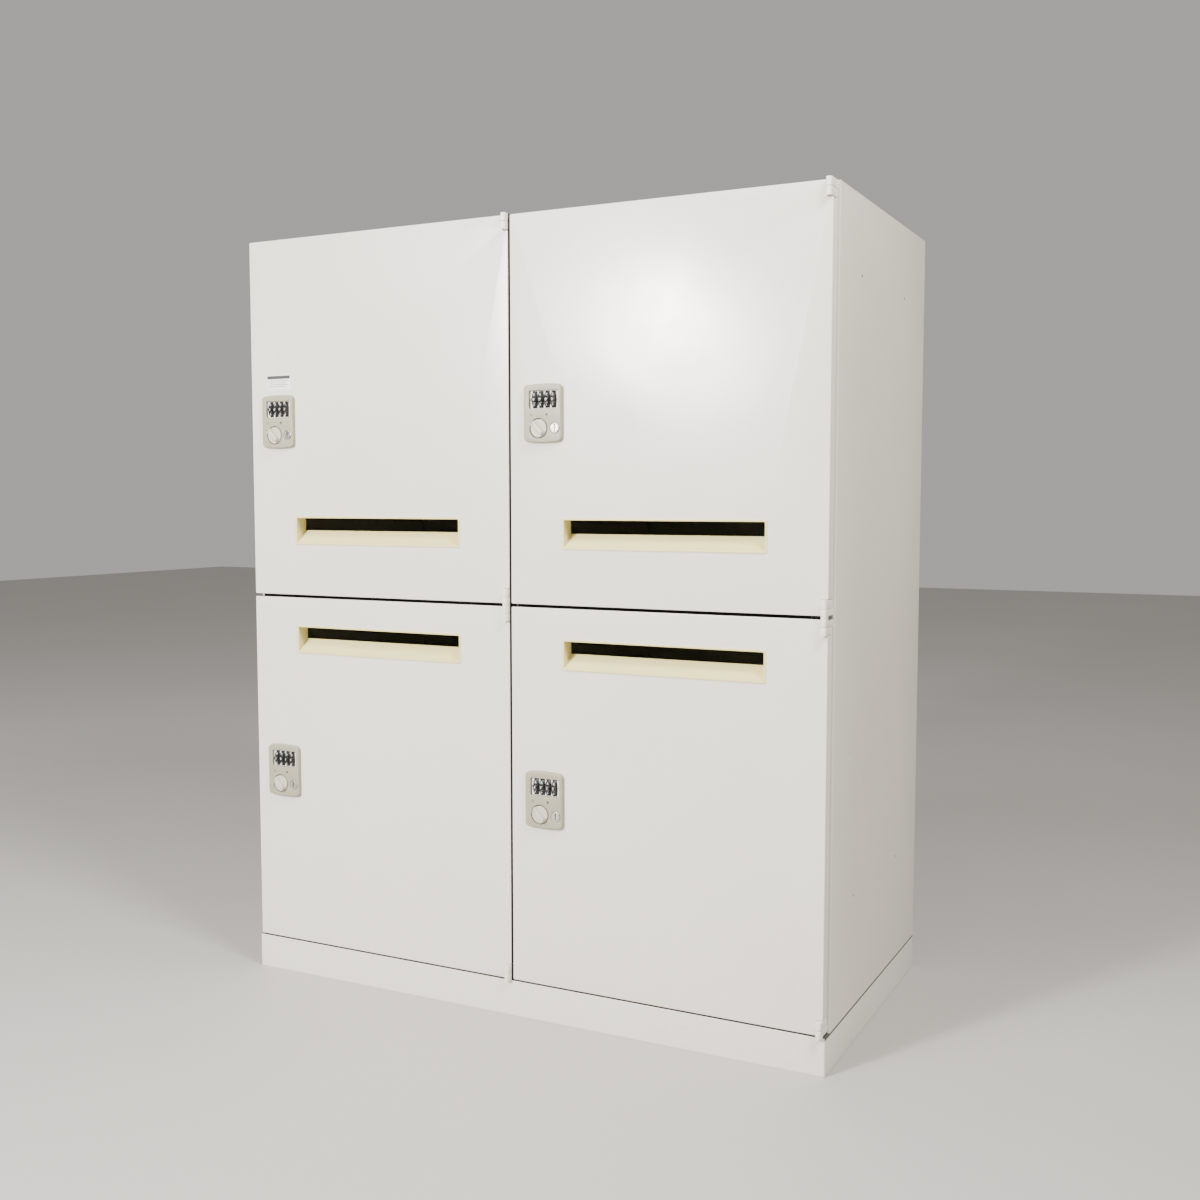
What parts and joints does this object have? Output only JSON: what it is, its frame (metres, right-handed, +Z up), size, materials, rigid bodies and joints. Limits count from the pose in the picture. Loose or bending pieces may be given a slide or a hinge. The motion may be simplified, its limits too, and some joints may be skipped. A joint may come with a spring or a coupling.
{
  "type": "parcel locker",
  "caption": "Steel parcel locker with stacked compartments in two columns; each overlay door has a letter slot, a combination lock with a turning knob, and pin hinges.",
  "frame": {"origin": "on the floor, in the middle of the whole footprint, which runs from the knobs' grip bars to the back panel", "axes": "+X to the right seen from the front, +Y from the doors to the back, +Z up; the doors face -Y"},
  "size_m": [0.9, 0.463, 1.1],
  "materials": {
    "body_paint": "warm off-white powder coat, semi-gloss",
    "door_paint": "warm off-white powder coat, semi-gloss",
    "hinge_paint": "off-white powder coat, semi-gloss",
    "slot_plastic": "cream moulded plastic",
    "lock_plastic": "pale warm grey moulded plastic, satin",
    "knob_plastic": "pale warm grey moulded plastic, satin",
    "dial_plastic": "black moulded plastic with pale digits",
    "key_metal": "satin plated",
    "zinc_steel": "zinc plated",
    "rubber": "matt black"
  },
  "bodies": {
    "cabinet": {"left_side_panel": "body_paint", "right_side_panel": "body_paint", "top_panel": "body_paint", "floor_panel": "body_paint", "back_panel": "body_paint", "centre_partition": "body_paint", "mid_shelves": "body_paint", "base_frame": "body_paint", "hinge_brackets": "hinge_paint", "hinge_pins": "zinc_steel", "door_bumpers": "rubber", "levelling_feet": "zinc_steel"},
    "upper_left_door": {"upper_left_door_panel": "door_paint", "upper_left_door_liner": "door_paint", "upper_left_hinge_leaves": "hinge_paint", "upper_left_slot_frame": "slot_plastic", "upper_left_lock_body": "lock_plastic"},
    "upper_left_knob": {"upper_left_lock_knob": "knob_plastic", "upper_left_latch_cam": "zinc_steel"},
    "upper_left_key": {"upper_left_key_cylinder": "key_metal"},
    "upper_left_dial_1_wheel": {"upper_left_dial_1": "dial_plastic"},
    "upper_left_dial_2_wheel": {"upper_left_dial_2": "dial_plastic"},
    "upper_left_dial_3_wheel": {"upper_left_dial_3": "dial_plastic"},
    "upper_left_dial_4_wheel": {"upper_left_dial_4": "dial_plastic"},
    "upper_right_door": {"upper_right_door_panel": "door_paint", "upper_right_door_liner": "door_paint", "upper_right_hinge_leaves": "hinge_paint", "upper_right_slot_frame": "slot_plastic", "upper_right_lock_body": "lock_plastic"},
    "upper_right_knob": {"upper_right_lock_knob": "knob_plastic", "upper_right_latch_cam": "zinc_steel"},
    "upper_right_key": {"upper_right_key_cylinder": "key_metal"},
    "upper_right_dial_1_wheel": {"upper_right_dial_1": "dial_plastic"},
    "upper_right_dial_2_wheel": {"upper_right_dial_2": "dial_plastic"},
    "upper_right_dial_3_wheel": {"upper_right_dial_3": "dial_plastic"},
    "upper_right_dial_4_wheel": {"upper_right_dial_4": "dial_plastic"},
    "lower_left_door": {"lower_left_door_panel": "door_paint", "lower_left_door_liner": "door_paint", "lower_left_hinge_leaves": "hinge_paint", "lower_left_slot_frame": "slot_plastic", "lower_left_lock_body": "lock_plastic"},
    "lower_left_knob": {"lower_left_lock_knob": "knob_plastic", "lower_left_latch_cam": "zinc_steel"},
    "lower_left_key": {"lower_left_key_cylinder": "key_metal"},
    "lower_left_dial_1_wheel": {"lower_left_dial_1": "dial_plastic"},
    "lower_left_dial_2_wheel": {"lower_left_dial_2": "dial_plastic"},
    "lower_left_dial_3_wheel": {"lower_left_dial_3": "dial_plastic"},
    "lower_left_dial_4_wheel": {"lower_left_dial_4": "dial_plastic"},
    "lower_right_door": {"lower_right_door_panel": "door_paint", "lower_right_door_liner": "door_paint", "lower_right_hinge_leaves": "hinge_paint", "lower_right_slot_frame": "slot_plastic", "lower_right_lock_body": "lock_plastic"},
    "lower_right_knob": {"lower_right_lock_knob": "knob_plastic", "lower_right_latch_cam": "zinc_steel"},
    "lower_right_key": {"lower_right_key_cylinder": "key_metal"},
    "lower_right_dial_1_wheel": {"lower_right_dial_1": "dial_plastic"},
    "lower_right_dial_2_wheel": {"lower_right_dial_2": "dial_plastic"},
    "lower_right_dial_3_wheel": {"lower_right_dial_3": "dial_plastic"},
    "lower_right_dial_4_wheel": {"lower_right_dial_4": "dial_plastic"}
  },
  "joints": [
    {"name": "upper_left_door_hinge", "type": "hinge", "parent": "cabinet", "child": "upper_left_door", "pos_m": [-0.0055, -0.2225, 0.8375], "axis": [0, 0, 1], "range_deg": [0, 110]},
    {"name": "upper_left_knob_turn", "type": "hinge", "parent": "upper_left_door", "child": "upper_left_knob", "pos_m": [-0.4005, -0.2185, 0.813], "axis": [0, 1, 0], "range_deg": [0, 90]},
    {"name": "upper_left_key_turn", "type": "hinge", "parent": "upper_left_door", "child": "upper_left_key", "pos_m": [-0.376, -0.2185, 0.813], "axis": [0, 1, 0], "range_deg": [0, 90]},
    {"name": "upper_left_dial_1_spin", "type": "hinge", "parent": "upper_left_door", "child": "upper_left_dial_1_wheel", "pos_m": [-0.4069, -0.2155, 0.851], "axis": [1, 0, 0], "continuous": true},
    {"name": "upper_left_dial_2_spin", "type": "hinge", "parent": "upper_left_door", "child": "upper_left_dial_2_wheel", "pos_m": [-0.3975, -0.2155, 0.851], "axis": [1, 0, 0], "continuous": true},
    {"name": "upper_left_dial_3_spin", "type": "hinge", "parent": "upper_left_door", "child": "upper_left_dial_3_wheel", "pos_m": [-0.3881, -0.2155, 0.851], "axis": [1, 0, 0], "continuous": true},
    {"name": "upper_left_dial_4_spin", "type": "hinge", "parent": "upper_left_door", "child": "upper_left_dial_4_wheel", "pos_m": [-0.3787, -0.2155, 0.851], "axis": [1, 0, 0], "continuous": true},
    {"name": "upper_right_door_hinge", "type": "hinge", "parent": "cabinet", "child": "upper_right_door", "pos_m": [0.443, -0.2225, 0.8375], "axis": [0, 0, 1], "range_deg": [0, 110]},
    {"name": "upper_right_knob_turn", "type": "hinge", "parent": "upper_right_door", "child": "upper_right_knob", "pos_m": [0.048, -0.2185, 0.813], "axis": [0, 1, 0], "range_deg": [0, 90]},
    {"name": "upper_right_key_turn", "type": "hinge", "parent": "upper_right_door", "child": "upper_right_key", "pos_m": [0.0725, -0.2185, 0.813], "axis": [0, 1, 0], "range_deg": [0, 90]},
    {"name": "upper_right_dial_1_spin", "type": "hinge", "parent": "upper_right_door", "child": "upper_right_dial_1_wheel", "pos_m": [0.0416, -0.2155, 0.851], "axis": [1, 0, 0], "continuous": true},
    {"name": "upper_right_dial_2_spin", "type": "hinge", "parent": "upper_right_door", "child": "upper_right_dial_2_wheel", "pos_m": [0.051, -0.2155, 0.851], "axis": [1, 0, 0], "continuous": true},
    {"name": "upper_right_dial_3_spin", "type": "hinge", "parent": "upper_right_door", "child": "upper_right_dial_3_wheel", "pos_m": [0.0604, -0.2155, 0.851], "axis": [1, 0, 0], "continuous": true},
    {"name": "upper_right_dial_4_spin", "type": "hinge", "parent": "upper_right_door", "child": "upper_right_dial_4_wheel", "pos_m": [0.0698, -0.2155, 0.851], "axis": [1, 0, 0], "continuous": true},
    {"name": "lower_left_door_hinge", "type": "hinge", "parent": "cabinet", "child": "lower_left_door", "pos_m": [-0.0055, -0.2225, 0.3125], "axis": [0, 0, 1], "range_deg": [0, 110]},
    {"name": "lower_left_knob_turn", "type": "hinge", "parent": "lower_left_door", "child": "lower_left_knob", "pos_m": [-0.4005, -0.2185, 0.291], "axis": [0, 1, 0], "range_deg": [0, 90]},
    {"name": "lower_left_key_turn", "type": "hinge", "parent": "lower_left_door", "child": "lower_left_key", "pos_m": [-0.376, -0.2185, 0.291], "axis": [0, 1, 0], "range_deg": [0, 90]},
    {"name": "lower_left_dial_1_spin", "type": "hinge", "parent": "lower_left_door", "child": "lower_left_dial_1_wheel", "pos_m": [-0.4069, -0.2155, 0.329], "axis": [1, 0, 0], "continuous": true},
    {"name": "lower_left_dial_2_spin", "type": "hinge", "parent": "lower_left_door", "child": "lower_left_dial_2_wheel", "pos_m": [-0.3975, -0.2155, 0.329], "axis": [1, 0, 0], "continuous": true},
    {"name": "lower_left_dial_3_spin", "type": "hinge", "parent": "lower_left_door", "child": "lower_left_dial_3_wheel", "pos_m": [-0.3881, -0.2155, 0.329], "axis": [1, 0, 0], "continuous": true},
    {"name": "lower_left_dial_4_spin", "type": "hinge", "parent": "lower_left_door", "child": "lower_left_dial_4_wheel", "pos_m": [-0.3787, -0.2155, 0.329], "axis": [1, 0, 0], "continuous": true},
    {"name": "lower_right_door_hinge", "type": "hinge", "parent": "cabinet", "child": "lower_right_door", "pos_m": [0.443, -0.2225, 0.3125], "axis": [0, 0, 1], "range_deg": [0, 110]},
    {"name": "lower_right_knob_turn", "type": "hinge", "parent": "lower_right_door", "child": "lower_right_knob", "pos_m": [0.048, -0.2185, 0.291], "axis": [0, 1, 0], "range_deg": [0, 90]},
    {"name": "lower_right_key_turn", "type": "hinge", "parent": "lower_right_door", "child": "lower_right_key", "pos_m": [0.0725, -0.2185, 0.291], "axis": [0, 1, 0], "range_deg": [0, 90]},
    {"name": "lower_right_dial_1_spin", "type": "hinge", "parent": "lower_right_door", "child": "lower_right_dial_1_wheel", "pos_m": [0.0416, -0.2155, 0.329], "axis": [1, 0, 0], "continuous": true},
    {"name": "lower_right_dial_2_spin", "type": "hinge", "parent": "lower_right_door", "child": "lower_right_dial_2_wheel", "pos_m": [0.051, -0.2155, 0.329], "axis": [1, 0, 0], "continuous": true},
    {"name": "lower_right_dial_3_spin", "type": "hinge", "parent": "lower_right_door", "child": "lower_right_dial_3_wheel", "pos_m": [0.0604, -0.2155, 0.329], "axis": [1, 0, 0], "continuous": true},
    {"name": "lower_right_dial_4_spin", "type": "hinge", "parent": "lower_right_door", "child": "lower_right_dial_4_wheel", "pos_m": [0.0698, -0.2155, 0.329], "axis": [1, 0, 0], "continuous": true}
  ]
}
